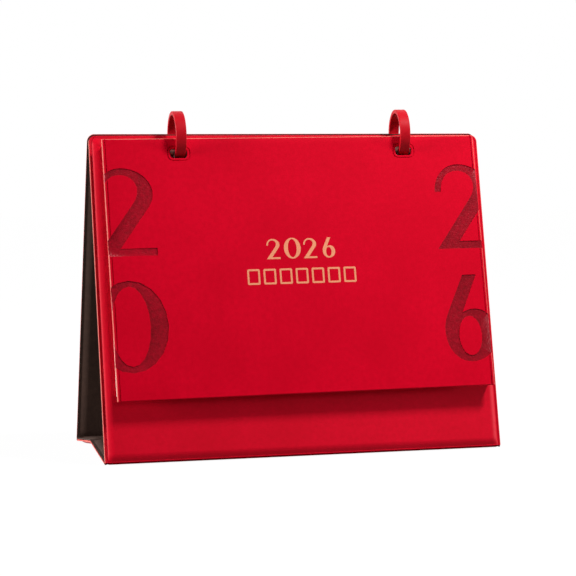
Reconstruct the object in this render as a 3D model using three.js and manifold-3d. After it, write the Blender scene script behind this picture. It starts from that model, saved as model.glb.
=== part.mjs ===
// Desk calendar with a folded A-shaped stand, a ring-bound page block and a welded front cover.
// Millimetres. +X runs along the width, +Y to the back and +Z up from the desk.
// The stand is one sheet of artificial leather welded to one lining sheet, with four greyboards
// shut between them. Two snap rings hold its top edges together and carry the pages and the cover.
import * as THREE from "three";
import { mergeVertices } from "three/addons/utils/BufferGeometryUtils.js";
import Module from "manifold-3d";

// Stand: outside width, slope of the two panels and the folded base
const standWidth = 240;
const panelLength = 190;
const panelLean = THREE.MathUtils.degToRad(13.6);
const topGap = 1.0; // between the linings of the two panels at their top edges
const creaseLift = 6; // how far the base's middle crease is folded up inside
const foldRadius = 1.4; // of the weld plane, at the two feet and the crease
const cornerRadius = 4.3; // top corners of both panels

// Sheets and boards
const leatherThickness = 0.9;
const liningThickness = 0.5;
const boardThickness = 2.2;
const boardInside = 0.7; // the part of a board that lies inside the weld plane
const seatGap = 0.3; // between pieces that lie on each other
const flangeWidth = 1.7; // flat welded rim round every board
const shoulderWidth = 4.3; // from the weld up to the face of the board

// Rings: flat plastic bands that snap shut. Each stands a little to one side and turned in its slots
const ringRadius = 15;
const ringThickness = 2.3;
const ringWidth = 6.2;
const ringEdge = 0.45; // chamfer of the band's edges
const ringForward = 2.4; // centre of the rings in front of the stand's middle plane
const rings = [
  { name: "ring_left", side: -1, shift: 1.5, turn: THREE.MathUtils.degToRad(2) },
  { name: "ring_right", side: 1, shift: 1.3, turn: THREE.MathUtils.degToRad(5.5) },
];
const snapAngle = THREE.MathUtils.degToRad(78); // outer end of the snap joint, up from the front
const snapLap = THREE.MathUtils.degToRad(14);
const snapGap = 0.35;
const ringPlay = 0.3; // more room over the rings' inside, for they turn askew in the pages
const hingeNotch = 1.1; // cut out of the band's inside where it bends open
const hingeNotchWidth = 2;

// Punched slots that the rings pass through
const slotSpacing = 138;
const slotCorner = 1.8;
const slotShift = 1.4; // the stand's slots lie this much to the right of the cover's
const panelSlotWidth = 10.4;
const panelSlotHeight = 6.8;
const pageSlotWidth = 11.4;
const pageSlotHeight = 6;
const coverSlotWidth = 10.2;
const coverSlotHeight = 5.6;

// Cover and pages
const coverWidth = 227.8;
const coverHeight = 152.4;
const coverThickness = 1.8;
const coverEdge = 0.35; // chamfer of the cover's edges
const coverSplay = THREE.MathUtils.degToRad(0.7); // the cover leans this much more than the panel
const coverSlotMargin = 9; // from a sheet's top edge to the middle of its slots
const weldInset = 1.3; // weld line inside the cover's left and right edges
const weldWidth = 0.7;
const weldDepth = 0.35;
const rimInset = 1.1; // pressed line round each slot of the cover
const pageSetback = 0.5; // the sheets end this much inside the cover's left and right edges
const pageShift = 0.7; // and hang this much further to the right
const pageRise = 6.4; // the sheets are this much shorter than the cover
const pageSlotMargin = 9;
const pageStack = 4.5; // thickness of the stack at its rings
const pageLayers = 4;
const hangTurn = THREE.MathUtils.degToRad(0.45); // rings, cover and pages hang askew, right side up

// Large numerals pressed into the cover. Each stands reach in from its edge of the cover and foot
// below its top, and runs off the edge.
const numeralDepth = 0.4;
const numerals = [
  { figure: figureTwo, side: -1, reach: 28.7, foot: 69 },
  { figure: figureZero, side: -1, reach: 32.5, foot: 136.7 },
  { figure: figureTwo, side: 1, reach: 27.3, foot: 69.5 },
  { figure: figureSix, side: 1, reach: 28.1, foot: 137.9 },
];

const wasm = await Module();
wasm.setup();

// A closed geometry as a solid that can be joined and cut
function solidOf(geometry) {
  const bare = geometry.clone();
  bare.deleteAttribute("normal");
  bare.deleteAttribute("uv");
  const merged = mergeVertices(bare, 1e-4);
  const vertProperties = new Float32Array(merged.attributes.position.array);
  const triVerts = new Uint32Array(merged.index.array);
  return new wasm.Manifold(new wasm.Mesh({ numProp: 3, vertProperties, triVerts }));
}

// A solid back as a geometry
function geometryOf(solid) {
  const mesh = solid.getMesh();
  const geometry = new THREE.BufferGeometry();
  geometry.setAttribute("position", new THREE.BufferAttribute(mesh.vertProperties, 3));
  geometry.setIndex(new THREE.BufferAttribute(mesh.triVerts, 1));
  return geometry;
}

function cut(geometry, cutters) {
  let solid = solidOf(geometry);
  for (const cutter of cutters) {
    solid = solid.subtract(solidOf(cutter));
  }
  return geometryOf(solid);
}

function finish(color, roughness, metalness = 0) {
  return new THREE.MeshStandardMaterial({ color, roughness, metalness });
}

const leather = finish(0xc90a2c, 0.5);
const lining = finish(0x2a1b18, 0.7);
const greyboard = finish(0x8d8478, 0.9);
const ringPlastic = finish(0xb5202c, 0.4);
const paper = finish(0xf6efe2, 0.85);

function named(name, geometry, material) {
  const mesh = new THREE.Mesh(geometry, material);
  mesh.name = name;
  return mesh;
}

// Heights over the weld plane, outwards positive
const boardOutside = boardThickness - boardInside;
const leatherFlange = seatGap / 2;
const leatherFace = boardOutside + seatGap;
const liningFlange = -seatGap / 2;
const liningFace = -boardInside - seatGap;
const boardInset = flangeWidth + shoulderWidth + seatGap;

// The weld plane seen from the left: front top, front foot, crease, back foot and back top, as [y, z].
// The panels' linings stand topGap apart at the top, so the weld plane there is wider by the lining.
const topHalf = topGap / 2 + (liningThickness + seatGap / 2) / Math.cos(panelLean);
const footHalf = topHalf + panelLength * Math.sin(panelLean);
const baseSlope = Math.atan2(creaseLift, footHalf);
const baseLength = Math.hypot(creaseLift, footHalf);
// A base board's outer edge is the lowest point, so the weld plane's feet stand above the desk
const padDepth = leatherFace + leatherThickness;
const padEdge = flangeWidth + shoulderWidth;
const footRise = Math.max(
  padDepth * Math.cos(baseSlope) - padEdge * Math.sin(baseSlope),
  leatherFlange + leatherThickness,
);
const standTop = footRise + panelLength * Math.cos(panelLean);
const corners = [
  [-topHalf, standTop],
  [-footHalf, footRise],
  [0, footRise + creaseLift],
  [footHalf, footRise],
  [topHalf, standTop],
].map(([y, z]) => new THREE.Vector2(y, z));

// One flat panel of the weld plane, from one corner to the next, with its direction and outward normal
function panelFrame(start, end) {
  const along = end.clone().sub(start).normalize();
  const outward = new THREE.Vector2(along.y, -along.x);
  return { start, along, outward, length: start.distanceTo(end) };
}
const frames = corners.slice(1).map((end, i) => panelFrame(corners[i], end));
const [frontFrame, baseFrontFrame, baseBackFrame, backFrame] = frames;

// Distance that a fold's arc takes from the panels on both sides of it
function foldLength(before, after) {
  const turn = Math.acos(THREE.MathUtils.clamp(before.along.dot(after.along), -1, 1));
  return foldRadius * Math.tan(turn / 2);
}

// Steps across a rim: the flange, then the shoulder, which rises as a quarter of a sine wave
const shoulderSteps = 4;
const rim = [{ inset: 0, rise: 0 }, { inset: flangeWidth, rise: 0 }];
for (let i = 1; i <= shoulderSteps; i++) {
  const share = i / shoulderSteps;
  rim.push({ inset: flangeWidth + share * shoulderWidth, rise: Math.sin((share * Math.PI) / 2) });
}

// The stations along the whole folded sheet: place in the weld plane, outward normal, rise of the
// pad and how far the side edges are drawn in by the rounded top corners.
function cornerInset(fromTop) {
  const rest = Math.max(cornerRadius - fromTop, 0);
  return cornerRadius - Math.sqrt(cornerRadius ** 2 - rest ** 2);
}

function station(frame, distance, rise, fromTop) {
  const place = frame.start.clone().addScaledVector(frame.along, distance);
  return { place, normal: frame.outward, rise, inset: cornerInset(fromTop) };
}

function panelStations(frame, startFold, endFold, topAt) {
  const list = [];
  const fromTop = (t) => (topAt === "start" ? t : topAt === "end" ? frame.length - t : Infinity);
  const add = (t, rise) => list.push(station(frame, t, rise, fromTop(t)));
  add(startFold, 0);
  if (topAt === "start") {
    add(flangeWidth * 0.15, 0);
    add(flangeWidth * 0.5, 0);
  }
  for (const step of rim.slice(1)) {
    add(step.inset, step.rise);
  }
  for (const step of rim.slice(1).reverse()) {
    add(frame.length - step.inset, step.rise);
  }
  if (topAt === "end") {
    add(frame.length - flangeWidth * 0.5, 0);
    add(frame.length - flangeWidth * 0.15, 0);
  }
  add(frame.length - endFold, 0);
  return list;
}

// The arc of a fold, between the end of one panel and the start of the next
function foldStations(before, after, steps) {
  const reach = foldLength(before, after);
  const from = before.start.clone().addScaledVector(before.along, before.length - reach);
  const side = Math.sign(before.along.cross(after.along));
  const centre = from.clone().addScaledVector(before.outward, -side * foldRadius);
  const turn = Math.acos(before.along.dot(after.along)) * side;
  const list = [];
  for (let i = 1; i < steps; i++) {
    const normal = before.outward.clone().rotateAround(new THREE.Vector2(), (turn * i) / steps);
    const place = centre.clone().addScaledVector(normal, side * foldRadius);
    list.push({ place, normal, rise: 0, inset: 0 });
  }
  return list;
}

const frontFold = foldLength(frontFrame, baseFrontFrame);
const creaseFold = foldLength(baseFrontFrame, baseBackFrame);
const backFold = foldLength(baseBackFrame, backFrame);
const sheetStations = [
  ...panelStations(frontFrame, 0, frontFold, "start"),
  ...foldStations(frontFrame, baseFrontFrame, 5),
  ...panelStations(baseFrontFrame, frontFold, creaseFold, null),
  ...foldStations(baseFrontFrame, baseBackFrame, 2),
  ...panelStations(baseBackFrame, creaseFold, backFold, null),
  ...foldStations(baseBackFrame, backFrame, 5),
  ...panelStations(backFrame, backFold, 0, "end"),
];

// A folded sheet with four pads: its inner and outer faces follow the stations, and rise from
// flangeHeight at the rims to faceHeight over the boards.
function foldedSheet(flangeHeight, faceHeight, thickness) {
  const across = [
    ...rim.map((step) => ({ side: -1, ...step })),
    ...rim.toReversed().map((step) => ({ side: 1, ...step })),
  ];
  const rows = sheetStations.length;
  const columns = across.length;
  const positions = [];
  for (const extra of [0, thickness]) {
    for (const { place, normal, rise, inset } of sheetStations) {
      for (const step of across) {
        const height = flangeHeight + (faceHeight - flangeHeight) * rise * step.rise + extra;
        const x = step.side * (standWidth / 2 - inset - step.inset);
        positions.push(x, place.x + normal.x * height, place.y + normal.y * height);
      }
    }
  }
  const index = [];
  const quad = (a, b, c, d) => index.push(a, b, c, a, c, d);
  const inner = (r, c) => r * columns + c;
  const outer = (r, c) => (rows + r) * columns + c;
  for (let r = 0; r + 1 < rows; r++) {
    for (let c = 0; c + 1 < columns; c++) {
      quad(outer(r, c), outer(r + 1, c), outer(r + 1, c + 1), outer(r, c + 1));
      quad(inner(r, c), inner(r, c + 1), inner(r + 1, c + 1), inner(r + 1, c));
    }
    quad(inner(r, 0), inner(r + 1, 0), outer(r + 1, 0), outer(r, 0));
    quad(inner(r + 1, columns - 1), inner(r, columns - 1), outer(r, columns - 1), outer(r + 1, columns - 1));
  }
  for (let c = 0; c + 1 < columns; c++) {
    quad(inner(0, c + 1), inner(0, c), outer(0, c), outer(0, c + 1));
    quad(inner(rows - 1, c), inner(rows - 1, c + 1), outer(rows - 1, c + 1), outer(rows - 1, c));
  }
  const geometry = new THREE.BufferGeometry();
  geometry.setAttribute("position", new THREE.Float32BufferAttribute(positions, 3));
  geometry.setIndex(index);
  return geometry;
}

// The matrix of a panel: its own x is the width, its own y runs up the slope and its own z outwards.
// Its origin is in the weld plane at the panel's top edge.
function panelMatrix(frame, topAt) {
  const up = topAt === "start" ? frame.along.clone().negate() : frame.along.clone();
  const top = topAt === "start" ? frame.start : frame.start.clone().addScaledVector(frame.along, frame.length);
  const side = new THREE.Vector3(topAt === "start" ? 1 : -1, 0, 0);
  const matrix = new THREE.Matrix4().makeBasis(
    side,
    new THREE.Vector3(0, up.x, up.y),
    new THREE.Vector3(0, frame.outward.x, frame.outward.y),
  );
  return matrix.setPosition(0, top.x, top.y);
}
const frontMatrix = panelMatrix(frontFrame, "start");
const backMatrix = panelMatrix(backFrame, "end");

// A punched slot with rounded corners
function slotShape(x, y, width, height, corner = slotCorner) {
  const shape = new THREE.Shape();
  const right = x + width / 2 - corner;
  const left = x - width / 2 + corner;
  const top = y + height / 2 - corner;
  const bottom = y - height / 2 + corner;
  shape.absarc(right, bottom, corner, -Math.PI / 2, 0);
  shape.absarc(right, top, corner, 0, Math.PI / 2);
  shape.absarc(left, top, corner, Math.PI / 2, Math.PI);
  shape.absarc(left, bottom, corner, Math.PI, 1.5 * Math.PI);
  shape.closePath();
  return shape;
}
const slotPlaces = [-slotSpacing / 2, slotSpacing / 2];

function rectangle(width, bottom, top) {
  const shape = new THREE.Shape();
  shape.moveTo(-width / 2, bottom);
  shape.lineTo(width / 2, bottom);
  shape.lineTo(width / 2, top);
  shape.lineTo(-width / 2, top);
  shape.closePath();
  return shape;
}

function prism(shape, bottom, top, steps = 1, curveSegments = 5) {
  const depth = top - bottom;
  const options = { depth, steps, bevelEnabled: false, curveSegments };
  return new THREE.ExtrudeGeometry(shape, options).translate(0, 0, bottom);
}

// The rings' common axis, level with the stand's top edges, and its place in the front panel's frame
const ringCentre = new THREE.Vector3(0, -ringForward, standTop);
const centreInFront = ringCentre.clone().applyMatrix4(frontMatrix.clone().invert());
const ringInside = ringRadius - ringThickness;
const ringDrop = (slotSpacing / 2) * Math.sin(hangTurn); // the left ring hangs this much lower

// The lower, left ring rests on the lower edge of its panel slots
const panelSlotBottom = centreInFront.y - ringRadius - ringDrop - seatGap;
const panelSlotY = panelSlotBottom + panelSlotHeight / 2;
const cutMargin = 1;
const cutFrom = liningFace - liningThickness - cutMargin;
const cutTo = leatherFace + leatherThickness + cutMargin;
const slotShiftOn = (matrix) => slotShift * matrix.elements[0]; // the back panel's x runs the other way
const standSlots = [frontMatrix, backMatrix].flatMap((matrix) =>
  slotPlaces.map((x) => {
    const slot = slotShape(x + slotShiftOn(matrix), panelSlotY, panelSlotWidth, panelSlotHeight);
    return prism(slot, cutFrom, cutTo).applyMatrix4(matrix);
  }),
);

// Boards
const boardWidth = standWidth - 2 * boardInset;

function panelBoard(name, matrix) {
  const shape = rectangle(boardWidth, boardInset - panelLength, -boardInset);
  for (const x of slotPlaces) {
    const place = x + slotShiftOn(matrix);
    shape.holes.push(slotShape(place, panelSlotY, panelSlotWidth, panelSlotHeight));
  }
  const board = named(name, prism(shape, -boardInside, boardOutside), greyboard);
  board.applyMatrix4(matrix);
  return board;
}

function baseBoard(name, frame) {
  const shape = rectangle(boardWidth, boardInset, baseLength - boardInset);
  const board = named(name, prism(shape, -boardInside, boardOutside), greyboard);
  const matrix = new THREE.Matrix4().makeBasis(
    new THREE.Vector3(-1, 0, 0),
    new THREE.Vector3(0, frame.along.x, frame.along.y),
    new THREE.Vector3(0, frame.outward.x, frame.outward.y),
  );
  board.applyMatrix4(matrix.setPosition(0, frame.start.x, frame.start.y));
  return board;
}

// Rings. The band is a chamfered section turned about the rings' axis. The snap joint is a stepped
// slit through it, and the hinge is a notch in its inside, facing the joint. Both are drawn seen
// from the right end of the axis, with +Y at angle 0 and +Z at 90 degrees.
const acrossRing = new THREE.Matrix4().makeBasis(
  new THREE.Vector3(0, 1, 0),
  new THREE.Vector3(0, 0, 1),
  new THREE.Vector3(1, 0, 0),
);
const polar = (radius, angle) => [radius * Math.cos(angle), radius * Math.sin(angle)];

function ringBand() {
  const half = ringWidth / 2;
  const profile = [
    [ringInside, half - ringEdge],
    [ringInside, ringEdge - half],
    [ringInside + ringEdge, -half],
    [ringRadius - ringEdge, -half],
    [ringRadius, ringEdge - half],
    [ringRadius, half - ringEdge],
    [ringRadius - ringEdge, half],
    [ringInside + ringEdge, half],
    [ringInside, half - ringEdge],
  ].map(([radius, along]) => new THREE.Vector2(radius, along));
  return new THREE.LatheGeometry(profile, 72).rotateZ(-Math.PI / 2);
}

function snapSlit() {
  const middle = (ringRadius + ringInside) / 2;
  const half = snapGap / 2;
  const turn = half / middle;
  const outerEnd = Math.PI - snapAngle;
  const innerEnd = outerEnd - snapLap;
  const beyond = ringRadius + cutMargin;
  const within = ringInside - cutMargin;
  const shape = new THREE.Shape();
  shape.moveTo(...polar(beyond, outerEnd - turn));
  shape.absarc(0, 0, middle + half, outerEnd - turn, innerEnd - turn, true);
  shape.lineTo(...polar(within, innerEnd - turn));
  shape.lineTo(...polar(within, innerEnd + turn));
  shape.absarc(0, 0, middle - half, innerEnd + turn, outerEnd + turn, false);
  shape.lineTo(...polar(beyond, outerEnd + turn));
  shape.closePath();
  return prism(shape, -ringWidth, ringWidth).applyMatrix4(acrossRing);
}

function hingeCut() {
  const facing = 2 * Math.PI - snapAngle;
  const shape = new THREE.Shape();
  const depth = ringInside + hingeNotch;
  shape.moveTo(ringInside - cutMargin, -hingeNotchWidth / 2);
  shape.lineTo(ringInside, -hingeNotchWidth / 2);
  shape.lineTo(depth, -hingeNotchWidth / 4);
  shape.lineTo(depth, hingeNotchWidth / 4);
  shape.lineTo(ringInside, hingeNotchWidth / 2);
  shape.lineTo(ringInside - cutMargin, hingeNotchWidth / 2);
  shape.closePath();
  return prism(shape, -ringWidth, ringWidth).rotateZ(facing).applyMatrix4(acrossRing);
}

// The hanging pieces' own frame has its origin on the rings' axis, y up the slope and z outwards.
// The panel's face and every sheet are placed in it by their distance from that axis.
const hangLean = panelLean + coverSplay;
const panelFace = (leatherFace + leatherThickness - centreInFront.z) / Math.cos(coverSplay);
const pageBack = panelFace + seatGap;
const pageFront = pageBack + pageStack;
const pageWidth = coverWidth - 2 * pageSetback;
const pageHeight = coverHeight - pageRise;
const coverBack = pageFront + seatGap;
const coverFront = coverBack + coverThickness;

// A slot's upper edge rests on the inside of the rings at a distance from their axis
const restHeight = (distance) => seatGap - Math.sqrt(ringInside ** 2 - distance ** 2);

// The page block: one sheet's outline through the stack. Each sheet hangs on the rings' round
// inside, so the stack's ends follow that arc, and the stack fans out from the panel's slope to the cover's.
function pageGeometry() {
  const top = pageSlotMargin - pageSlotHeight / 2;
  const sheet = rectangle(pageWidth, top - pageHeight, top);
  for (const x of slotPlaces) {
    sheet.holes.push(slotShape(x, -pageSlotHeight / 2, pageSlotWidth, pageSlotHeight));
  }
  const geometry = prism(sheet, 0, 1, pageLayers);
  const position = geometry.attributes.position;
  for (let i = 0; i < position.count; i++) {
    const share = position.getZ(i);
    const distance = pageBack + share * pageStack;
    const y = position.getY(i) + restHeight(distance) + ringPlay;
    const fan = (1 - share) * y * Math.tan(coverSplay);
    position.setXYZ(i, position.getX(i) + pageShift, y, distance + fan);
  }
  return geometry;
}

// The numerals' outlines, with x from the left side of the figure and y up from its foot. The
// strokes are thin across the top of a bowl and thick down its side.
function figureTwo() {
  const shape = new THREE.Shape();
  shape.moveTo(0, 34.8);
  shape.bezierCurveTo(0, 44.1, 6.9, 51.6, 15.5, 51.6);
  shape.bezierCurveTo(25.8, 51.6, 34.1, 44.8, 34.1, 36.5);
  shape.bezierCurveTo(34.1, 32.5, 32, 29.4, 30.2, 27);
  shape.lineTo(13.4, 4.5);
  shape.lineTo(34.8, 4.5);
  shape.lineTo(34.8, 0);
  shape.lineTo(-0.8, 0);
  shape.lineTo(21.9, 30.4);
  shape.bezierCurveTo(24, 33.2, 24.9, 35.8, 24.9, 38.6);
  shape.bezierCurveTo(24.9, 43.8, 20.6, 47.6, 15, 47.6);
  shape.bezierCurveTo(8.4, 47.6, 4.1, 42.5, 4.1, 34.8);
  shape.closePath();
  return { shape, width: 34.8 };
}

function figureZero() {
  const shape = new THREE.Shape();
  shape.absellipse(22, 26.7, 22, 26.7, 0, 2 * Math.PI);
  shape.holes.push(new THREE.Path().absellipse(21.9, 26.9, 11.4, 23.2, 0, 2 * Math.PI));
  return { shape, width: 44 };
}

function figureSix() {
  const shape = new THREE.Shape();
  shape.moveTo(13.6, 52.3);
  shape.lineTo(4.8, 34.1);
  shape.bezierCurveTo(2, 28.4, 0, 24.4, 0, 18.9);
  shape.bezierCurveTo(0, 8, 6.6, 0, 15.7, 0);
  shape.bezierCurveTo(25.4, 0, 32.7, 7, 32.7, 16.3);
  shape.bezierCurveTo(32.7, 24.8, 27, 31.6, 19.5, 31.6);
  shape.bezierCurveTo(16.8, 31.6, 14.2, 30.9, 11.9, 29.5);
  shape.lineTo(22.4, 52.3);
  shape.closePath();
  shape.holes.push(new THREE.Path().absellipse(15.8, 15.5, 7.1, 11.9, 0, 2 * Math.PI));
  return { shape, width: 32.7 };
}

function numeralCutter({ figure, side, reach, foot }, top) {
  const { shape, width } = figure();
  const x = side < 0 ? reach - coverWidth / 2 - width : coverWidth / 2 - reach;
  const floor = coverFront - numeralDepth;
  return prism(shape, floor, coverFront + cutMargin, 1, 10).translate(x, top - foot, 0);
}

// The cover: a welded sheet with chamfered edges, slots, a pressed line round each slot, a weld
// line inside its left and right edges and the numerals
function coverGeometry() {
  const slotY = restHeight(coverFront) - coverSlotHeight / 2;
  const top = slotY + coverSlotMargin;
  const outline = rectangle(coverWidth - 2 * coverEdge, top + coverEdge - coverHeight, top - coverEdge);
  const sheet = new THREE.ExtrudeGeometry(outline, {
    depth: coverThickness - 2 * coverEdge,
    bevelThickness: coverEdge,
    bevelSize: coverEdge,
    bevelSegments: 1,
  }).translate(0, 0, coverBack + coverEdge);
  const cutters = [];
  const grooveFloor = coverFront - weldDepth;
  const grooveTop = coverFront + cutMargin;
  for (const x of slotPlaces) {
    cutters.push(
      prism(slotShape(x, slotY, coverSlotWidth, coverSlotHeight), coverBack - cutMargin, grooveTop),
    );
    const inner = slotShape(
      x,
      slotY,
      coverSlotWidth + 2 * rimInset,
      coverSlotHeight + 2 * rimInset,
      slotCorner + rimInset,
    );
    const line = slotShape(
      x,
      slotY,
      coverSlotWidth + 2 * (rimInset + weldWidth),
      coverSlotHeight + 2 * (rimInset + weldWidth),
      slotCorner + rimInset + weldWidth,
    );
    line.holes.push(inner);
    cutters.push(prism(line, grooveFloor, grooveTop));
  }
  for (const side of [-1, 1]) {
    const groove = rectangle(weldWidth, top - coverHeight - cutMargin, top + cutMargin);
    const x = side * (coverWidth / 2 - weldInset - weldWidth / 2);
    cutters.push(prism(groove, grooveFloor, grooveTop).translate(x, 0, 0));
  }
  cutters.push(...numerals.map((numeral) => numeralCutter(numeral, top)));
  return cut(sheet, cutters);
}

const calendar = new THREE.Group();
calendar.name = "desk_calendar";
const assembly = new THREE.Group();
calendar.add(assembly);

const outerSheet = foldedSheet(leatherFlange, leatherFace, leatherThickness);
const innerSheet = foldedSheet(
  liningFlange - liningThickness,
  liningFace - liningThickness,
  liningThickness,
);
assembly.add(named("stand_cover", cut(outerSheet, standSlots), leather));
assembly.add(named("stand_lining", cut(innerSheet, standSlots), lining));
assembly.add(panelBoard("front_board", frontMatrix));
assembly.add(panelBoard("back_board", backMatrix));
assembly.add(baseBoard("base_front_board", baseFrontFrame));
assembly.add(baseBoard("base_back_board", baseBackFrame));

const hanging = new THREE.Group();
hanging.position.copy(ringCentre);
hanging.rotation.y = -hangTurn;
assembly.add(hanging);
for (const { name, side, shift, turn } of rings) {
  const ring = named(name, cut(ringBand(), [snapSlit(), hingeCut()]), ringPlastic);
  ring.position.x = (side * slotSpacing) / 2 + shift;
  ring.rotation.z = -turn;
  hanging.add(ring);
}

const leaning = new THREE.Group();
leaning.rotation.x = Math.PI / 2 - hangLean;
hanging.add(leaning);
leaning.add(named("page_block", cut(pageGeometry(), []), paper));
leaning.add(named("front_cover", coverGeometry(), leather));

// The origin is the middle of the space that the calendar takes up on the desk
calendar.updateMatrixWorld(true);
const box = new THREE.Box3().setFromObject(calendar, true);
assembly.position.set(0, -(box.min.y + box.max.y) / 2, -box.min.z);

export default calendar;
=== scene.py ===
import bmesh
import bpy
import numpy as np
from mathutils import Euler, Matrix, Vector
from mathutils.geometry import tessellate_polygon


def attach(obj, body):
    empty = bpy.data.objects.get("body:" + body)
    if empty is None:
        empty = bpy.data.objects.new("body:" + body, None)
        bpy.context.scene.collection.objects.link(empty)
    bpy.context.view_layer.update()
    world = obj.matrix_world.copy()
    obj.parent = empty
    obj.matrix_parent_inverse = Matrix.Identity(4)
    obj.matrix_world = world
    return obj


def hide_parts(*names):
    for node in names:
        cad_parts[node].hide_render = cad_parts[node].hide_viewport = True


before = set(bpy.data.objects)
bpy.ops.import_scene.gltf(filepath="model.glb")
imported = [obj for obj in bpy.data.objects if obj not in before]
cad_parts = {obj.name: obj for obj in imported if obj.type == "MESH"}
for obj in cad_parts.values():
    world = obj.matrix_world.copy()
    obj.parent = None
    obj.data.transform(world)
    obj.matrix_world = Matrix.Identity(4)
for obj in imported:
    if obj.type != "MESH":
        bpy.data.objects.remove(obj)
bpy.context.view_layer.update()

# Camera: a long lens a little above the desk, to the left of the calendar and turned towards it.
mm = 0.001
camera_place = Vector((-330.3, -1171.1, 195.4)) * mm
camera_dip = 4.7005
camera_pan = -15.784
camera_turn = Euler(np.radians((90 - camera_dip, 0, camera_pan)))
camera_data = bpy.data.cameras.new("camera")
camera_data.sensor_width = 36.0
camera_data.lens = 127.13
camera = bpy.data.objects.new("camera", camera_data)
camera.location = camera_place
camera.rotation_euler = camera_turn
bpy.context.scene.collection.objects.link(camera)
bpy.context.scene.camera = camera
bpy.context.scene.view_settings.view_transform = "Standard"


# Studio: a white sweep of paper under and behind the calendar, a strip softbox close above it, a
# lamp far to the right that throws the rings' shadows to the left, and a softbox on the left.
def linear(colour):
    """An sRGB hex colour such as "C90A2C" as linear RGBA: each channel by the sRGB curve."""
    channels = np.array([int(colour[i : i + 2], 16) for i in (0, 2, 4)]) / 255
    curve = np.where(channels <= 0.04045, channels / 12.92, ((channels + 0.055) / 1.055) ** 2.4)
    return (*curve.tolist(), 1.0)


def add_node(tree, kind, inputs=None, **settings):
    """A new node with its settings. An input that is another node's socket is linked to it."""
    node = tree.nodes.new(kind)
    for name, value in settings.items():
        setattr(node, name, value)
    for socket, value in (inputs or {}).items():
        if isinstance(value, bpy.types.NodeSocket):
            tree.links.new(value, node.inputs[socket])
        else:
            node.inputs[socket].default_value = value
    return node


def new_material(name):
    """A material whose node tree is empty, and that tree."""
    material = bpy.data.materials.new(name)
    material.use_nodes = True
    material.node_tree.nodes.clear()
    return material, material.node_tree


def seen_directly(tree):
    """A factor that is 1 where the camera, a reflection or a look through something meets it."""
    path = add_node(tree, "ShaderNodeLightPath")
    shiny = add_node(
        tree,
        "ShaderNodeMath",
        {0: path.outputs["Is Glossy Ray"], 1: path.outputs["Is Transmission Ray"]},
        operation="MAXIMUM",
    )
    seen = add_node(
        tree,
        "ShaderNodeMath",
        {0: path.outputs["Is Camera Ray"], 1: shiny.outputs[0]},
        operation="MAXIMUM",
    )
    return seen.outputs[0]


world = bpy.data.worlds.new("white_surround")
world.use_nodes = True
tree = world.node_tree
tree.nodes.clear()
backdrop_white = add_node(tree, "ShaderNodeBackground", {"Color": (1, 1, 1, 1), "Strength": 1.0})
room_light = add_node(tree, "ShaderNodeBackground", {"Color": (1, 1, 1, 1), "Strength": 0.05})
surround = add_node(
    tree,
    "ShaderNodeMixShader",
    {0: seen_directly(tree), 1: room_light.outputs[0], 2: backdrop_white.outputs[0]},
)
add_node(tree, "ShaderNodeOutputWorld", {"Surface": surround.outputs[0]})
bpy.context.scene.world = world

floor_half = 3.0
floor_mesh = bpy.data.meshes.new("studio_floor")
floor_corners = [(-floor_half, -floor_half, 0), (floor_half, -floor_half, 0)]
floor_corners += [(floor_half, floor_half, 0), (-floor_half, floor_half, 0)]
floor_mesh.from_pydata(floor_corners, [], [(0, 1, 2, 3)])
floor = bpy.data.objects.new("studio_floor", floor_mesh)
bpy.context.scene.collection.objects.link(floor)
floor_paper, tree = new_material("white_sweep_paper")
lit_paper = add_node(tree, "ShaderNodeBsdfDiffuse", {"Color": (0.25, 0.25, 0.25, 1)})
glowing_paper = add_node(tree, "ShaderNodeEmission", {"Color": (1, 1, 1, 1), "Strength": 1.22})
shadow_share = 0.20
seen_paper = add_node(
    tree, "ShaderNodeMixShader", {0: shadow_share, 1: glowing_paper.outputs[0], 2: lit_paper.outputs[0]}
)
paper_surface = add_node(
    tree,
    "ShaderNodeMixShader",
    {0: seen_directly(tree), 1: lit_paper.outputs[0], 2: seen_paper.outputs[0]},
)
add_node(tree, "ShaderNodeOutputMaterial", {"Surface": paper_surface.outputs[0]})
floor_mesh.materials.append(floor_paper)

for lamp_name, towards, strength, spread in (
    ("right_lamp", (0.95, -0.28, 0.14), 1.3, 7.0),
    ("left_softbox", (-0.98, -0.07, 0.20), 4.7, 20.0),
):
    lamp_data = bpy.data.lights.new(lamp_name, "SUN")
    lamp_data.energy = strength
    lamp_data.angle = np.radians(spread)
    lamp = bpy.data.objects.new(lamp_name, lamp_data)
    lamp.rotation_euler = Vector(towards).to_track_quat("Z", "Y").to_euler()
    bpy.context.scene.collection.objects.link(lamp)

strip_data = bpy.data.lights.new("top_strip_softbox", "AREA")
strip_data.shape = "RECTANGLE"
strip_data.size = 0.18
strip_data.size_y = 0.04
strip_data.energy = 6.8
strip = bpy.data.objects.new("top_strip_softbox", strip_data)
strip_aim = Vector((0.0, -0.02, 0.11))
strip_offset = Vector((0.36, -0.27, 0.61))
strip.location = strip_aim + strip_offset
strip.rotation_euler = (strip.location - strip_aim).to_track_quat("Z", "Y").to_euler()
bpy.context.scene.collection.objects.link(strip)


# Stand, outer sheet: one blank of red artificial leather, 0.9 mm thick, folded at both feet and at
# the base's crease. It is welded to the lining along a flat rim with a pressed groove, rises over
# the boards with a rounded shoulder, and has two punched slots in each panel and paler cut edges,
# partly a painted highlight.
stand_width = 240.0
panel_length = 190.0
panel_lean = np.radians(13.6)
top_gap = 1.0
crease_lift = 6.0
fold_radius = 1.4
corner_radius = 4.3
leather_thickness = 0.9
lining_thickness = 0.5
board_thickness = 2.2
board_inside = 0.7
seat_gap = 0.3
flange_width = 1.7
shoulder_width = 4.3

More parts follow.
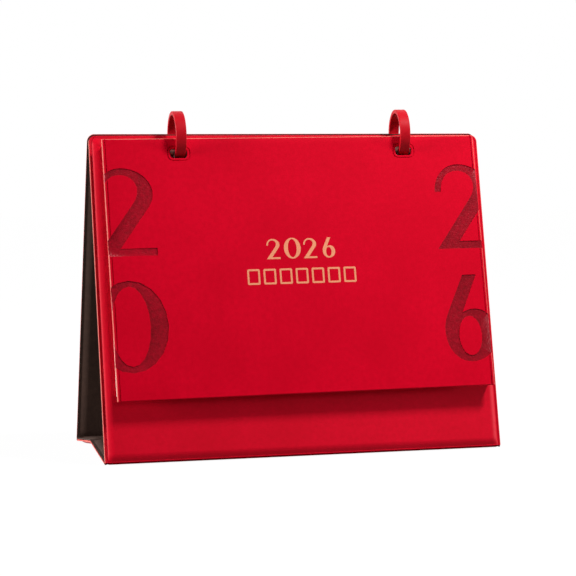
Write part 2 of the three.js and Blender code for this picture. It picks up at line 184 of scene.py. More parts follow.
leather_flange = seat_gap / 2
leather_face = board_thickness - board_inside + seat_gap
top_half = top_gap / 2 + (lining_thickness + seat_gap / 2) / np.cos(panel_lean)
foot_half = top_half + panel_length * np.sin(panel_lean)
base_slope = np.arctan2(crease_lift, foot_half)
pad_depth = leather_face + leather_thickness
foot_rise = max(
    pad_depth * np.cos(base_slope) - (flange_width + shoulder_width) * np.sin(base_slope),
    leather_flange + leather_thickness,
)
stand_top = foot_rise + panel_length * np.cos(panel_lean)
weld_corners = np.array(
    [
        (-top_half, stand_top),
        (-foot_half, foot_rise),
        (0, foot_rise + crease_lift),
        (foot_half, foot_rise),
        (top_half, stand_top),
    ]
)


def rim_rise(distance, flange=flange_width):
    """0 on the flat rim, then a quarter of a sine wave across the shoulder, up to 1 on the face."""
    share = np.clip((distance - flange) / shoulder_width, 0, 1)
    return np.sin(share * np.pi / 2)


front_foot_flange = 0.5
edge_round = 0.4
weld_groove = 0.3
weld_groove_half = 0.6
rim_steps = np.concatenate(
    [
        edge_round * np.array([0, 0.08, 0.3, 0.6, 1.0]),
        flange_width + weld_groove_half * np.linspace(-2, 2, 11),
        flange_width + shoulder_width * np.linspace(0.3, 1, 10),
    ]
)


def edge_drop(distance):
    """How far a sheet's worn cut edge falls away towards its end: a quarter circle."""
    rest = np.maximum(edge_round - distance, 0)
    return edge_round - np.sqrt(edge_round**2 - rest**2)


def corner_inset(from_top):
    """How far a rounded top corner draws the side in: a quarter circle of the corner's radius."""
    rest = np.maximum(corner_radius - from_top, 0)
    return corner_radius - np.sqrt(corner_radius**2 - rest**2)


def groove_depth(distance):
    """The line that the welding die pressed between rim and shoulder: a bell curve across it."""
    return weld_groove * np.exp(-(((distance - flange_width) / weld_groove_half) ** 2))


def panel_stations(start, end, fold_start, fold_end, top, end_flange=flange_width):
    """Rows [y, z, normal y, normal z, rise, inset, drop] along a flat panel from start to end,
    closer together across its shoulders and, where top names an end, round that end's corners."""
    length = np.linalg.norm(end - start)
    along = (end - start) / length
    corner = corner_radius * (1 - np.cos(np.linspace(0, np.pi / 2, 9)))
    places = [[fold_start, length - fold_end], rim_steps[1:], length - rim_steps[1:]]
    places += [corner] if top == "start" else []
    places += [length - corner] if top == "end" else []
    t = np.unique(np.round(np.concatenate(places), 4))
    from_top = {"start": t, "end": length - t, None: np.full_like(t, np.inf)}[top]
    place = start + t[:, None] * along
    normal = np.tile([along[1], -along[0]], (len(t), 1))
    rise = np.minimum(rim_rise(t), rim_rise(length - t, end_flange))
    return np.column_stack([place, normal, rise, corner_inset(from_top), edge_drop(from_top)])


def fold_reach(before, after):
    """The length that a fold's arc takes from each panel, which is the radius times the half turn's
    tangent, and the fold's turn."""
    turn = np.arccos(np.dot(before, after) / np.linalg.norm(before) / np.linalg.norm(after))
    return fold_radius * np.tan(turn / 2), turn


def fold_stations(corner, before, after, steps):
    """Rows as panel_stations gives, round the arc that joins two panels at a corner."""
    reach, turn = fold_reach(before, after)
    along = before / np.linalg.norm(before)
    side = np.sign(before[0] * after[1] - before[1] * after[0])
    outward = np.array([along[1], -along[0]])
    centre = corner - reach * along - side * fold_radius * outward
    angle = side * turn * np.arange(1, steps) / steps
    normal = np.column_stack(
        [
            outward[0] * np.cos(angle) - outward[1] * np.sin(angle),
            outward[0] * np.sin(angle) + outward[1] * np.cos(angle),
        ]
    )
    place = centre + side * fold_radius * normal
    return np.column_stack([place, normal, np.zeros((len(angle), 3))])


weld_runs = np.diff(weld_corners, axis=0)
back_panel_proud = 0.9
back_panel_end = weld_corners[4] + back_panel_proud * weld_runs[3] / panel_length
foot_reach = fold_reach(weld_runs[0], weld_runs[1])[0]
crease_reach = fold_reach(weld_runs[1], weld_runs[2])[0]
sheet_rows = np.vstack(
    [
        panel_stations(weld_corners[0], weld_corners[1], 0, foot_reach, "start", front_foot_flange),
        fold_stations(weld_corners[1], weld_runs[0], weld_runs[1], 12),
        panel_stations(weld_corners[1], weld_corners[2], foot_reach, crease_reach, None),
        fold_stations(weld_corners[2], weld_runs[1], weld_runs[2], 4),
        panel_stations(weld_corners[2], weld_corners[3], crease_reach, foot_reach, None),
        fold_stations(weld_corners[3], weld_runs[2], weld_runs[3], 12),
        panel_stations(weld_corners[3], back_panel_end, foot_reach, 0, "end"),
    ]
)

# The frame's origin lies on the desk, under the middle of the whole part's box: the stand's own
# middle plane is a little behind it, and its drawing is raised until the folds touch the desk.
frame_shift = np.array([0.8279, 0.015])


def grid_faces(rows, columns, first, flip):
    """Four-sided faces over a grid of rows and columns of vertices, turned over where flip."""
    at = first + np.arange(rows * columns).reshape(rows, columns)
    quads = np.stack([at[:-1, :-1], at[1:, :-1], at[1:, 1:], at[:-1, 1:]], axis=-1)
    quads = quads.reshape(-1, 4)
    return quads[:, ::-1] if flip else quads


def folded_sheet(flange_height, face_height, thickness):
    """A folded sheet with four pads, as vertices and faces. Row i and column j of its inner face
    lie over the weld plane by flange + (face - flange) * rise(i) * rise(j), and its outer face
    lies one thickness further out, less the drop of its edge and the groove. The rim is closed."""
    distance = np.concatenate([rim_steps, rim_steps[::-1]])
    side = np.repeat([-1.0, 1.0], len(rim_steps))
    y, z, normal_y, normal_z, rise, inset, drop = sheet_rows.T
    layers = []
    for extra in (0.0, thickness):
        lift = np.outer(rise, rim_rise(distance))
        height = flange_height + (face_height - flange_height) * lift + extra
        if extra:
            height -= np.maximum(edge_drop(distance)[None, :], drop[:, None])
            height -= groove_depth(distance)[None, :]
        x = side * (stand_width / 2 - inset[:, None] - distance)
        layer_y = y[:, None] + normal_y[:, None] * height + frame_shift[0]
        layer_z = z[:, None] + normal_z[:, None] * height + frame_shift[1]
        layers.append(np.stack([x, layer_y, layer_z], axis=-1).reshape(-1, 3))
    rows, columns = len(sheet_rows), len(distance)
    count = rows * columns
    at = np.arange(count).reshape(rows, columns)
    border = np.concatenate([at[:, 0], at[-1, 1:], at[-2::-1, -1], at[0, -2:0:-1]])
    following = np.roll(border, -1)
    rim = np.stack([border, following, following + count, border + count], axis=-1)
    inner = grid_faces(rows, columns, 0, True)
    outer = grid_faces(rows, columns, count, False)
    return np.vstack(layers), np.vstack([inner, outer, rim])


def new_piece(name, vertices, faces):
    """A mesh object at the origin from vertices in millimetres."""
    mesh = bpy.data.meshes.new(name)
    mesh.from_pydata((np.asarray(vertices) * mm).tolist(), [], [list(map(int, f)) for f in faces])
    piece = bpy.data.objects.new(name, mesh)
    bpy.context.scene.collection.objects.link(piece)
    return piece


def panel_place(panel):
    """The frame of a panel or hanging sheet as origin and axes: across, up the slope, outwards."""
    lean = panel_lean * (1 if panel == "front" else -1)
    facing = 1 if panel == "front" else -1
    top = weld_corners[0] if panel == "front" else weld_corners[4]
    origin = np.array([0, *(top + frame_shift)])
    across = np.array([facing, 0, 0])
    up = np.array([0, np.sin(lean), np.cos(lean)])
    return origin, np.array([across, up, np.cross(across, up)])


def slot_outline(x, y, width, height, corner=1.8, steps=8):
    """A rounded slot round (x, y): four quarter circles, one at each corner."""
    turn = np.linspace(0, np.pi / 2, steps)
    sides = np.array([(1, 1), (-1, 1), (-1, -1), (1, -1)])
    centres = sides * [width / 2 - corner, height / 2 - corner] + [x, y]
    angles = turn + np.arange(4)[:, None] * np.pi / 2
    arcs = centres[:, None] + corner * np.stack([np.cos(angles), np.sin(angles)], axis=-1)
    return arcs.reshape(-1, 2)


def prism(outline, bottom, top, place):
    """An outline drawn on a panel, carried from bottom to top along the panel's outward axis.
    Both are one height, or one for each point of the outline."""
    origin, axes = place
    count = len(outline)
    low = np.column_stack([outline, bottom + np.zeros(count)])
    high = np.column_stack([outline, top + np.zeros(count)])
    i = np.arange(count)
    walls = np.stack([i, (i + 1) % count, (i + 1) % count + count, i + count], axis=-1)
    faces = [i[::-1].tolist(), (i + count).tolist(), *walls.tolist()]
    return origin + np.vstack([low, high]) @ axes, faces


def joined(parts):
    """Several (vertices, faces) as one."""
    vertices, faces, first = [], [], 0
    for part_vertices, part_faces in parts:
        vertices.append(part_vertices)
        faces += [[int(v) + first for v in face] for face in part_faces]
        first += len(part_vertices)
    return np.vstack(vertices), faces


def finished(piece, solids=None, sharp=27.0):
    """Cuts solids out of a piece, keeps the result as its mesh and shades it smooth up to an angle."""
    if solids:
        cutter = new_piece(piece.name + "_cutter", *joined(solids))
        cut = piece.modifiers.new("punched", "BOOLEAN")
        cut.operation = "DIFFERENCE"
        cut.solver = "EXACT"
        cut.object = cutter
        graph = bpy.context.evaluated_depsgraph_get()
        piece.data = bpy.data.meshes.new_from_object(piece.evaluated_get(graph))
        piece.modifiers.clear()
        bpy.data.objects.remove(cutter)
    piece.data.shade_smooth()
    piece.data.set_sharp_from_angle(angle=np.radians(sharp))
    even = piece.modifiers.new("flat_faces_stay_flat", "WEIGHTED_NORMAL")
    even.keep_sharp = True
    graph = bpy.context.evaluated_depsgraph_get()
    piece.data = bpy.data.meshes.new_from_object(piece.evaluated_get(graph))
    piece.modifiers.clear()


def leather(name, colour, shade, sheen, gloss, grain_mm, roughness, depth):
    """Artificial leather: a polyurethane skin embossed with fine pebbles of the grain's size, with
    slightly darker valleys between them and a broad, faint change of colour over the sheet. The
    sheen is the tint of what it reflects, and the gloss is how strongly it reflects."""
    material, tree = new_material(name)
    place = add_node(tree, "ShaderNodeTexCoord").outputs["Object"]
    pebbles = add_node(
        tree,
        "ShaderNodeTexVoronoi",
        {"Vector": place, "Scale": 1000 / grain_mm, "Randomness": 1.0},
        feature="SMOOTH_F1",
    )
    creases = add_node(
        tree,
        "ShaderNodeTexNoise",
        {"Vector": place, "Scale": 1000 / (3 * grain_mm), "Detail": 4.0, "Roughness": 0.6},
    )
    cloud_mm = 45.45
    clouds = add_node(
        tree, "ShaderNodeTexNoise", {"Vector": place, "Scale": 1000 / cloud_mm, "Detail": 2.0}
    )
    tone = add_node(
        tree,
        "ShaderNodeMath",
        {0: clouds.outputs["Fac"], 1: creases.outputs["Fac"]},
        operation="MULTIPLY",
    )
    tint = add_node(
        tree,
        "ShaderNodeMapRange",
        {"Value": tone.outputs[0], "From Min": 0.12, "From Max": 0.40, "To Min": 0.0, "To Max": 1.0},
    )
    skin = add_node(
        tree,
        "ShaderNodeMix",
        {0: tint.outputs[0], 6: linear(shade), 7: linear(colour)},
        data_type="RGBA",
    )
    relief = add_node(
        tree,
        "ShaderNodeMath",
        {0: creases.outputs["Fac"], 1: 0.8, 2: pebbles.outputs["Distance"]},
        operation="MULTIPLY_ADD",
    )
    bump = add_node(
        tree,
        "ShaderNodeBump",
        {"Height": relief.outputs[0], "Strength": 0.5, "Distance": depth * mm},
    )
    surface = add_node(
        tree,
        "ShaderNodeBsdfPrincipled",
        {
            "Base Color": skin.outputs[2],
            "Normal": bump.outputs[0],
            "Roughness": roughness,
            "Specular IOR Level": gloss,
            "Specular Tint": linear(sheen),
        },
    )
    add_node(tree, "ShaderNodeOutputMaterial", {"Surface": surface.outputs[0]})
    return material


def edge_faces(mesh, directions, rim):
    """Faces that lie within rim of the mesh's furthest place in each direction and turn that way."""
    points = np.array([vertex.co[:] for vertex in mesh.vertices]) / mm
    centres = np.array([polygon.center[:] for polygon in mesh.polygons]) / mm
    normals = np.array([polygon.normal[:] for polygon in mesh.polygons])
    chosen = np.zeros(len(centres), bool)
    least_facing = 0.3
    for direction in directions:
        near = centres @ direction > (points @ direction).max() - rim
        chosen |= near & (normals @ direction > least_facing)
    return np.flatnonzero(chosen)


ring_radius = 15.0
ring_thickness = 2.3
ring_forward = 2.4
slot_spacing = 138.0
hang_turn = np.radians(0.45)
ring_drop = slot_spacing / 2 * np.sin(hang_turn)
front_origin, front_axes = panel_place("front")
ring_centre = np.array([0, -ring_forward + frame_shift[0], stand_top + frame_shift[1]])
centre_in_front = front_axes @ (ring_centre - front_origin)
panel_slot_size = (10.4, 6.8)
slot_shift = 1.4
punch_bottom = -4.0
punch_top = 6.0
panel_slot_y = centre_in_front[1] - ring_radius - ring_drop - seat_gap + panel_slot_size[1] / 2
slot_places = (-slot_spacing / 2, slot_spacing / 2)
stand_punches = []
for panel, shift in (("front", slot_shift), ("back", -slot_shift)):
    for x in slot_places:
        outline = slot_outline(x + shift, panel_slot_y, *panel_slot_size)
        stand_punches.append(prism(outline, punch_bottom, punch_top, panel_place(panel)))

# Red polyurethane leather, pressed and welded: satin, deep red, with a fine grain.
red_leather = leather("red_pu_leather", "D00424", "C2031E", "D87078", 0.35, 0.9, 0.5, 0.07)
stand_sheet = new_piece(
    "stand_sheet", *folded_sheet(leather_flange, leather_face, leather_thickness)
)
finished(stand_sheet, stand_punches)

# Cut edges of the leather, where the backing shows: matt and pale pink beside the red skin. Their
# paleness is partly a painted highlight on the edges that face the lamps.
edge_leather_with_painted_highlight = leather("leather_cut_edge_painted_highlight", "E2766A", "CE5C54", "FFFFFF", 0.3, 0.5, 0.7, 0.05)
stand_sheet.data.materials.append(red_leather)
stand_sheet.data.materials.append(edge_leather_with_painted_highlight)
to_right = np.array([1, 0, 0])
for index in edge_faces(stand_sheet.data, [to_right, -to_right], edge_round):
    stand_sheet.data.polygons[index].material_index = 1
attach(stand_sheet, "stand")
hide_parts("stand_cover")

# Stand, lining: one sheet of dark brown artificial leather, 0.5 mm thick, welded to the outer
# sheet along every rim and fold. It follows the inside of the boards and is duller and coarser.
lining_leather = leather("brown_pu_lining", "553F37", "44322C", "C8B0A0", 0.4, 1.1, 0.6, 0.06)
lining_face = -board_inside - seat_gap
stand_lining_sheet = new_piece(
    "stand_lining_sheet",
    *folded_sheet(-seat_gap / 2 - lining_thickness, lining_face - lining_thickness, lining_thickness),
)
finished(stand_lining_sheet, stand_punches)
stand_lining_sheet.data.materials.append(lining_leather)
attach(stand_lining_sheet, "stand")
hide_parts("stand_lining")

# Boards: four pieces of greyboard shut between the two sheets. They show only as a grey edge in
# the punched slots.
greyboard, tree = new_material("greyboard")
board_place = add_node(tree, "ShaderNodeTexCoord").outputs["Object"]
fibre_mm = 0.6
fibres = add_node(
    tree, "ShaderNodeTexNoise", {"Vector": board_place, "Scale": 1000 / fibre_mm, "Detail": 5.0}
)
board_colour = add_node(
    tree,
    "ShaderNodeMix",
    {0: fibres.outputs["Fac"], 6: linear("7C7368"), 7: linear("9C9286")},
    data_type="RGBA",
)
board_bump = add_node(
    tree, "ShaderNodeBump", {"Height": fibres.outputs["Fac"], "Strength": 0.4, "Distance": 0.05 * mm}
)
board_surface = add_node(
    tree,
    "ShaderNodeBsdfPrincipled",
    {"Base Color": board_colour.outputs[2], "Normal": board_bump.outputs[0], "Roughness": 0.9},
)
add_node(tree, "ShaderNodeOutputMaterial", {"Surface": board_surface.outputs[0]})
for node_name in ("front_board", "back_board", "base_front_board", "base_back_board"):
    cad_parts[node_name].material_slots[0].material = greyboard

# Page block: fourteen loose sheets of uncoated ivory paper, punched together. Each hangs on the
# rings' round inside, so their ends follow that arc, and they fan out a little towards the bottom.
hang_splay = np.radians(0.7)
hang_lean = panel_lean + hang_splay
across = np.array([np.cos(hang_turn), 0, np.sin(hang_turn)])
turned_up = np.array([-np.sin(hang_turn), 0, np.cos(hang_turn)])
backwards = np.array([0, 1, 0])
sheet_up = np.sin(hang_lean) * backwards + np.cos(hang_lean) * turned_up
sheet_out = -np.cos(hang_lean) * backwards + np.sin(hang_lean) * turned_up
hanging_place = (ring_centre, np.array([across, sheet_up, sheet_out]))

panel_face = (leather_face + leather_thickness - centre_in_front[2]) / np.cos(hang_splay)
page_back = panel_face + seat_gap
page_stack = 4.5
page_front = page_back + page_stack
page_size = (226.2, 146.0)
page_slot_size = (11.4, 8.1)
page_slot_play = 0.5
page_shift = 1.5
page_slot_shift = 0.1
page_top = 6.0
ring_play = 0.3
ring_inside = ring_radius - ring_thickness
sheet_count = 14
sheet_thickness = 0.24
sheet_scatter = 0.28
page_punch_margin = 0.03
page_turn = np.radians(0.4)
page_droop = 0.25


def page_rest(share):
    """The height at which a sheet hangs: that of the rings' inside at its distance from the axis."""
    distance = page_back + share * page_stack
    return seat_gap + ring_play - np.sqrt(ring_inside**2 - distance**2)


def page_turned(x, y):
    """Points of a sheet after it swung a little to the left on the rings: a small rotation."""
    return x + page_turn * y, y - page_turn * x - page_droop


def page_sheet(share, sideways, rows=13, columns=13):
    """One sheet as vertices and faces: a rectangle at its share of the stack, which stands off
    the panel by its share of the fan. That grows with the distance below the axis. The top edge
    lies page_top over the height at which the sheet hangs."""
    distance = page_back + share * page_stack
    width, height = page_size
    across_at = np.linspace(-width / 2, width / 2, columns) + page_shift + sideways
    down_at = np.linspace(page_top - height, page_top, rows) + page_rest(share)
    x, y = page_turned(*np.meshgrid(across_at, down_at))
    out = distance + (1 - share) * y * np.tan(hang_splay)
    layers = [out - sheet_thickness / 2, out + sheet_thickness / 2]
    origin, axes = hanging_place
    points = np.vstack([np.stack([x, y, z], axis=-1).reshape(-1, 3) for z in layers])
    count = rows * columns
    at = np.arange(count).reshape(rows, columns)
    border = np.concatenate([at[0, :], at[1:, -1], at[-1, -2::-1], at[-2:0:-1, 0]])
    following = np.roll(border, -1)
    rim = np.stack([border, following, following + count, border + count], axis=-1)
    back = grid_faces(rows, columns, 0, False)
    front = grid_faces(rows, columns, count, True)
    return origin + points @ axes, np.vstack([back, front, rim])


stack_random = np.random.default_rng(3)
sideways_shifts = stack_random.uniform(-sheet_scatter, sheet_scatter, sheet_count)
half_sheet_share = sheet_thickness / 2 / page_stack
sheet_shares = np.linspace(half_sheet_share, 1 - half_sheet_share, sheet_count)
page_sheets = new_piece(
    "page_sheets",
    *joined([page_sheet(share, shift) for share, shift in zip(sheet_shares, sideways_shifts)]),
)
page_punches = []
reach = sheet_thickness / 2 + page_punch_margin
for share in sheet_shares:
    distance = page_back + share * page_stack
    for x in slot_places:
        slot_y = page_rest(share) + page_slot_play - page_slot_size[1] / 2
        outline = slot_outline(x + page_slot_shift, slot_y, *page_slot_size)
        outline = np.column_stack(page_turned(*outline.T))
        middle = distance + (1 - share) * outline[:, 1] * np.tan(hang_splay)
        page_punches.append(prism(outline, middle - reach, middle + reach, hanging_place))

# Ivory paper, cut in a stack: matt and faintly fibrous. Its pink tint is a painted reflection of
# the light that the red leather round it throws back.
paper_with_painted_bounce, tree = new_material("uncoated_ivory_paper_with_painted_red_bounce")
paper_place = add_node(tree, "ShaderNodeTexCoord").outputs["Object"]
paper_fibre_mm = 0.8
paper_fibres = add_node(
    tree,
    "ShaderNodeTexNoise",
    {"Vector": paper_place, "Scale": 1000 / paper_fibre_mm, "Detail": 4.0},
)
paper_colour = add_node(
    tree,
    "ShaderNodeMix",
    {0: paper_fibres.outputs["Fac"], 6: linear("F4DFD0"), 7: linear("FAE8DA")},
    data_type="RGBA",
)
paper_bump = add_node(
    tree,
    "ShaderNodeBump",
    {"Height": paper_fibres.outputs["Fac"], "Strength": 0.3, "Distance": 0.02 * mm},
)
paper_skin = add_node(
    tree,
    "ShaderNodeBsdfPrincipled",
    {"Base Color": paper_colour.outputs[2], "Normal": paper_bump.outputs[0], "Roughness": 0.85},
)
add_node(tree, "ShaderNodeOutputMaterial", {"Surface": paper_skin.outputs[0]})
finished(page_sheets, page_punches, 40)
page_sheets.data.materials.append(paper_with_painted_bounce)
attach(page_sheets, "stand")
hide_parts("page_block")

# Front cover: a welded sheet of the same red leather, 1.8 mm thick. A hot die pressed the four large
# numerals, the lines round the slots and the side welds into it, which rounds their upper edges,
# and left the numerals' floors darker and glossier than the face.
cover_thickness = 1.8
cover_back = page_front + seat_gap
cover_front = cover_back + cover_thickness
press_round = 0.22
numeral_depth = 0.4
cover_rim = 0.3
level_tolerance = 0.02


def heights_over_axis(vertices):
    """How far points stand outwards from the rings' axis, square to the cover, in millimetres."""
    origin, axes = hanging_place
    return (vertices / mm - origin) @ axes[2]


cover_leather = leather("red_pu_leather_cover", "CC0222", "BE011D", "B81828", 0.22, 0.9, 0.5, 0.07)
pressed_leather = leather("hot_pressed_leather", "A0061E", "720210", "D07880", 0.4, 0.7, 0.36, 0.3)
cover_sheet = bpy.data.objects.new("cover_sheet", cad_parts["front_cover"].data.copy())
cover_sheet.data.materials.clear()
cover_sheet.data.materials.append(cover_leather)
cover_sheet.data.materials.append(pressed_leather)
cover_sheet.data.materials.append(edge_leather_with_painted_highlight)
bpy.context.scene.collection.objects.link(cover_sheet)
form = bmesh.new()
form.from_mesh(cover_sheet.data)
bmesh.ops.remove_doubles(form, verts=form.verts[:], dist=0.002 * mm)
bmesh.ops.dissolve_limit(
    form,
    angle_limit=np.radians(0.5),
    verts=form.verts[:],
    edges=form.edges[:],
    use_dissolve_boundaries=False,
)
pressed_edges = []
for edge_line in form.edges:
    ends = heights_over_axis(np.array([v.co[:] for v in edge_line.verts]))
    flat = np.all(np.abs(ends - cover_front) < level_tolerance)
    if flat and len(edge_line.link_faces) == 2 and edge_line.calc_face_angle() > np.radians(60):
        pressed_edges.append(edge_line)
bmesh.ops.bevel(
    form,
    geom=pressed_edges,
    offset=press_round * mm,
    offset_type="OFFSET",
    segments=3,
    profile=0.5,
    affect="EDGES",
    clamp_overlap=True,
)
floor_height = cover_front - numeral_depth
for face in form.faces:
    face.material_index = 0
    heights = heights_over_axis(np.array([v.co[:] for v in face.verts]))
    if np.all(np.abs(heights - floor_height) < level_tolerance):
        face.material_index = 1
bmesh.ops.triangulate(form, faces=form.faces[:])
form.to_mesh(cover_sheet.data)
form.free()
finished(cover_sheet, sharp=32)
# Side and top cut edges get the pale edge colour, partly a painted highlight; the bottom stays red.
for index in edge_faces(cover_sheet.data, [across, -across, sheet_up], cover_rim):
    cover_sheet.data.polygons[index].material_index = 2
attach(cover_sheet, "cover")
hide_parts("front_cover")

# Foil stamping on the cover: a plain year in numerals and a row of seven upright boxes under it,
# both in matt gold foil a few hundredths of a millimetre thick, pressed a little into the leather.
foil_bed = 0.05
foil_proud = 0.04
figure_height = 12.1
figure_baseline = -76.0
drawn_height = 52


def bezier(points, steps=14):
    """An outline from a first point and steps: two numbers are a line to that point, and six are
    two control points and the end of a cubic curve, which is worked out as the sum of its four
    points times the Bernstein weights."""
    outline = [np.array(points[0])]
    t = np.linspace(0, 1, steps + 1)[1:, None]
    for step in points[1:]:
        start = outline[-1].reshape(-1, 2)[-1]
        if len(step) == 2:
            outline.append(np.array([step]))
        else:
            a, b, c = np.array(step).reshape(3, 2)
            curve = (1 - t) ** 3 * start + 3 * (1 - t) ** 2 * t * a + 3 * (1 - t) * t**2 * b + t**3 * c
            outline.append(curve)
    return np.vstack(outline)


def ellipse(x, y, across_half, up_half, steps=48):
    """Points round an ellipse, anticlockwise."""
    angle = np.linspace(0, 2 * np.pi, steps, endpoint=False)
    return np.column_stack([x + across_half * np.cos(angle), y + up_half * np.sin(angle)])


figure_two = [
    bezier(
        [
            (0, 34.8),
            (0, 44.1, 6.9, 51.6, 15.5, 51.6),
            (25.8, 51.6, 34.1, 44.8, 34.1, 36.5),
            (34.1, 32.5, 32, 29.4, 30.2, 27),
            (13.4, 4.5),
            (34.8, 4.5),
            (34.8, 0),
            (-0.8, 0),
            (21.9, 30.4),
            (24, 33.2, 24.9, 35.8, 24.9, 38.6),
            (24.9, 43.8, 20.6, 47.6, 15, 47.6),
            (8.4, 47.6, 4.1, 42.5, 4.1, 34.8),
        ]
    )
]
figure_zero = [ellipse(22, 26.7, 22, 26.7), ellipse(21.9, 26.9, 11.4, 23.2)]
figure_six = [
    bezier(
        [
            (13.6, 52.3),
            (4.8, 34.1),
            (2, 28.4, 0, 24.4, 0, 18.9),
            (0, 8, 6.6, 0, 15.7, 0),
            (25.4, 0, 32.7, 7, 32.7, 16.3),
            (32.7, 24.8, 27, 31.6, 19.5, 31.6),
            (16.8, 31.6, 14.2, 30.9, 11.9, 29.5),
            (22.4, 52.3),
        ]
    ),
    ellipse(15.8, 15.5, 7.1, 11.9),
]


def foil(loops, bottom, top):
    """A closed plate from an outline and its holes on the cover, from bottom to top over the axis."""
    points = np.vstack(loops)
    count = len(points)
    triangles = tessellate_polygon([[Vector((*p, 0)) for p in loop] for loop in loops])
    triangles = np.array(triangles)
    a, b, c = (points[triangles[:, i]] for i in range(3))
    ab, ac = b - a, c - a
    turned = ab[:, 0] * ac[:, 1] - ab[:, 1] * ac[:, 0] < 0
    triangles[turned] = triangles[turned][:, ::-1]
    walls, first = [], 0
    for k, loop in enumerate(loops):
        i = np.arange(len(loop))
        following = np.roll(loop, -1, axis=0)
        area = np.sum(loop[:, 0] * following[:, 1] - loop[:, 1] * following[:, 0])
        j = (i + 1) % len(loop)
        wall = np.stack([i, j, j + count, i + count], axis=-1) + first
        outside_first = (area > 0) == (k == 0)
        walls.append(wall if outside_first else wall[:, ::-1])
        first += len(loop)
    low = np.column_stack([points, np.full(count, bottom)])
    high = np.column_stack([points, np.full(count, top)])
    origin, axes = hanging_place
    faces = [*triangles[:, ::-1].tolist(), *(triangles + count).tolist(), *np.vstack(walls).tolist()]
    return origin + np.vstack([low, high]) @ axes, faces


foil_bottom = cover_front - foil_bed
foil_top = cover_front + foil_proud
figure_scale = figure_height / drawn_height
foil_parts = []
for loops, left in (
    (figure_two, -20.4),
    (figure_zero, -9.9),
    (figure_two, 2.0),
    (figure_six, 13.7),
):
    scaled = [loop * figure_scale + [left, figure_baseline] for loop in loops]
    foil_parts.append(foil(scaled, foil_bottom, foil_top))
box_count = 7
box_size = (7.6, 9.2)
box_line = 1.1
box_corner = 0.8
box_inner_corner = 0.3
box_row_width = 66.2
box_row_height = -86.3
box_step = (box_row_width - box_size[0]) / (box_count - 1)
for k in range(box_count):
    centre = (k - (box_count - 1) / 2) * box_step
    inside_size = (box_size[0] - 2 * box_line, box_size[1] - 2 * box_line)
    outside = slot_outline(centre, box_row_height, *box_size, box_corner, 5)
    inside = slot_outline(centre, box_row_height, *inside_size, box_inner_corner, 5)
    foil_parts.append(foil([outside, inside], foil_bottom, foil_top))
foil_stamp = new_piece("foil_stamp", *joined(foil_parts))
finished(foil_stamp, sharp=40)

# Matt gold foil: a thin metal film that takes on a little of the leather's grain.
gold_foil, tree = new_material("matt_gold_foil")
foil_place = add_node(tree, "ShaderNodeTexCoord").outputs["Object"]
foil_grain_mm = 0.9
foil_grain = add_node(
    tree, "ShaderNodeTexNoise", {"Vector": foil_place, "Scale": 1000 / foil_grain_mm, "Detail": 3.0}
)
foil_colour = add_node(
    tree,
    "ShaderNodeMix",
    {0: foil_grain.outputs["Fac"], 6: linear("BC704E"), 7: linear("D68E6A")},
    data_type="RGBA",
)
foil_bump = add_node(
    tree,
    "ShaderNodeBump",
    {"Height": foil_grain.outputs["Fac"], "Strength": 0.4, "Distance": 0.03 * mm},
)
foil_surface = add_node(
    tree,
    "ShaderNodeBsdfPrincipled",
    {
        "Base Color": foil_colour.outputs[2],
        "Normal": foil_bump.outputs[0],
        "Metallic": 0.6,
        "Roughness": 0.45,
    },
)
add_node(tree, "ShaderNodeOutputMaterial", {"Surface": foil_surface.outputs[0]})
foil_stamp.data.materials.append(gold_foil)
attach(foil_stamp, "cover")

# Rings: two flat bands of red plastic, each moulded in one piece with a stepped snap joint near its
# top and a thin hinge facing it. They pass through the slots and hold the stand's top edges together.
ring_width = 6.2
ring_edge = 0.5
snap_angle = np.radians(78)
snap_lap = np.radians(14)
snap_gap = 0.35
hinge_notch = 1.1
hinge_notch_width = 2.0
cut_margin = 1.0


def ring_band(place, steps=144, edge_steps=5):
    """A closed band round a ring's axis: a rectangle of the band's width and thickness with
    rounded edges, turned about the axis. Its rows follow the section and its columns the turn."""
    outline = slot_outline(
        (ring_radius + ring_inside) / 2, 0, ring_thickness, ring_width, ring_edge, edge_steps
    )
    turn = np.linspace(0, 2 * np.pi, steps, endpoint=False)
    radius, along = outline.T
    points = np.stack(
        [
            np.outer(np.ones(steps), along),
            np.outer(np.cos(turn), radius),
            np.outer(np.sin(turn), radius),
        ],
        axis=-1,
    )
    at = np.arange(steps * len(outline)).reshape(steps, -1)
    after, beside = np.roll(at, -1, axis=0), np.roll(at, -1, axis=1)
    quads = np.stack([at, beside, np.roll(beside, -1, axis=0), after], axis=-1).reshape(-1, 4)
    origin, axes = place
    return origin + points.reshape(-1, 3) @ axes, quads


def arc(radius, start, end, steps=12):
    """Points on a circle round the ring's axis from one angle to another."""
    angle = np.linspace(start, end, steps)
    return np.column_stack([radius * np.cos(angle), radius * np.sin(angle)])


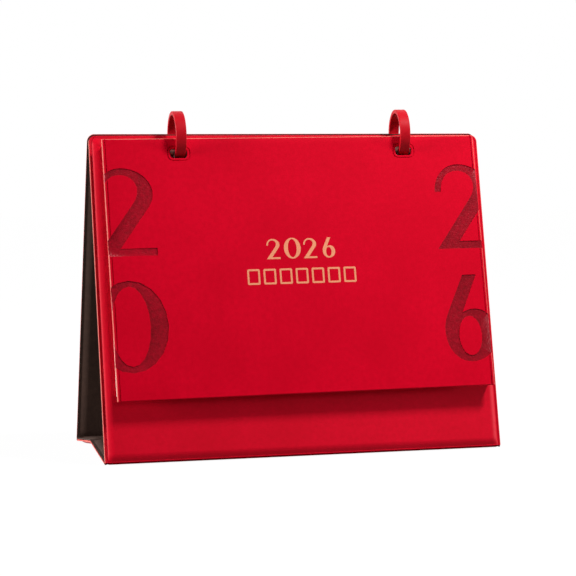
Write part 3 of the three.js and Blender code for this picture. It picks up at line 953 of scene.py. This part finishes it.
def ring_cutters(place):
    """The snap joint's stepped slit, out along one end, round half the lap and in along the other,
    and the notch of the hinge, which faces the joint's outer end."""
    origin, axes = place
    side_place = (origin, axes[[1, 2, 0]])
    middle = (ring_radius + ring_inside) / 2
    half = snap_gap / 2
    turn = half / middle
    outer_end = np.pi - snap_angle
    inner_end = outer_end - snap_lap
    slit = np.vstack(
        [
            arc(ring_radius + cut_margin, outer_end - turn, outer_end - turn, 1),
            arc(middle + half, outer_end - turn, inner_end - turn),
            arc(ring_inside - cut_margin, inner_end - turn, inner_end + turn, 2),
            arc(middle - half, inner_end + turn, outer_end + turn),
            arc(ring_radius + cut_margin, outer_end + turn, outer_end + turn, 1),
        ]
    )
    notch_angle = outer_end + np.pi
    notch_half = hinge_notch_width / 2 / ring_inside
    notch = np.vstack(
        [
            arc(ring_inside - cut_margin, notch_angle - notch_half, notch_angle + notch_half, 5),
            arc(ring_inside + hinge_notch, notch_angle + notch_half, notch_angle - notch_half, 5),
        ]
    )
    return [prism(outline, -ring_width, ring_width, side_place) for outline in (slit, notch)]


# Moulded polypropylene, satin red, with a faint flow mottle.
ring_plastic, tree = new_material("moulded_red_plastic")
ring_place = add_node(tree, "ShaderNodeTexCoord").outputs["Object"]
mottle_mm = 2.5
mottle = add_node(
    tree, "ShaderNodeTexNoise", {"Vector": ring_place, "Scale": 1000 / mottle_mm, "Detail": 3.0}
)
plastic_colour = add_node(
    tree,
    "ShaderNodeMix",
    {0: mottle.outputs["Fac"], 6: linear("A80818"), 7: linear("B6101E")},
    data_type="RGBA",
)
plastic_bump = add_node(
    tree, "ShaderNodeBump", {"Height": mottle.outputs["Fac"], "Strength": 0.2, "Distance": 0.03 * mm}
)
plastic_surface = add_node(
    tree,
    "ShaderNodeBsdfPrincipled",
    {
        "Base Color": plastic_colour.outputs[2],
        "Normal": plastic_bump.outputs[0],
        "Roughness": 0.42,
        "Specular IOR Level": 0.08,
    },
)
add_node(tree, "ShaderNodeOutputMaterial", {"Surface": plastic_surface.outputs[0]})

# Each ring has slipped a little to the right in its slots and stands slightly askew.
hanging_axes = np.array([across, backwards, turned_up])
for node_name, slot_x, ring_slip, askew in (
    ("ring_left", slot_places[0], 1.5, 2.0),
    ("ring_right", slot_places[1], 1.3, 4.4),
):
    ring_turn = np.radians(askew)
    turned = np.array(
        [
            [np.cos(ring_turn), -np.sin(ring_turn), 0],
            [np.sin(ring_turn), np.cos(ring_turn), 0],
            [0, 0, 1],
        ]
    )
    place = (ring_centre + (slot_x + ring_slip) * across, turned @ hanging_axes)
    ring = new_piece(node_name + "_band", *ring_band(place))
    finished(ring, ring_cutters(place), 35)
    ring.data.materials.append(ring_plastic)
    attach(ring, "rings")
    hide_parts(node_name)
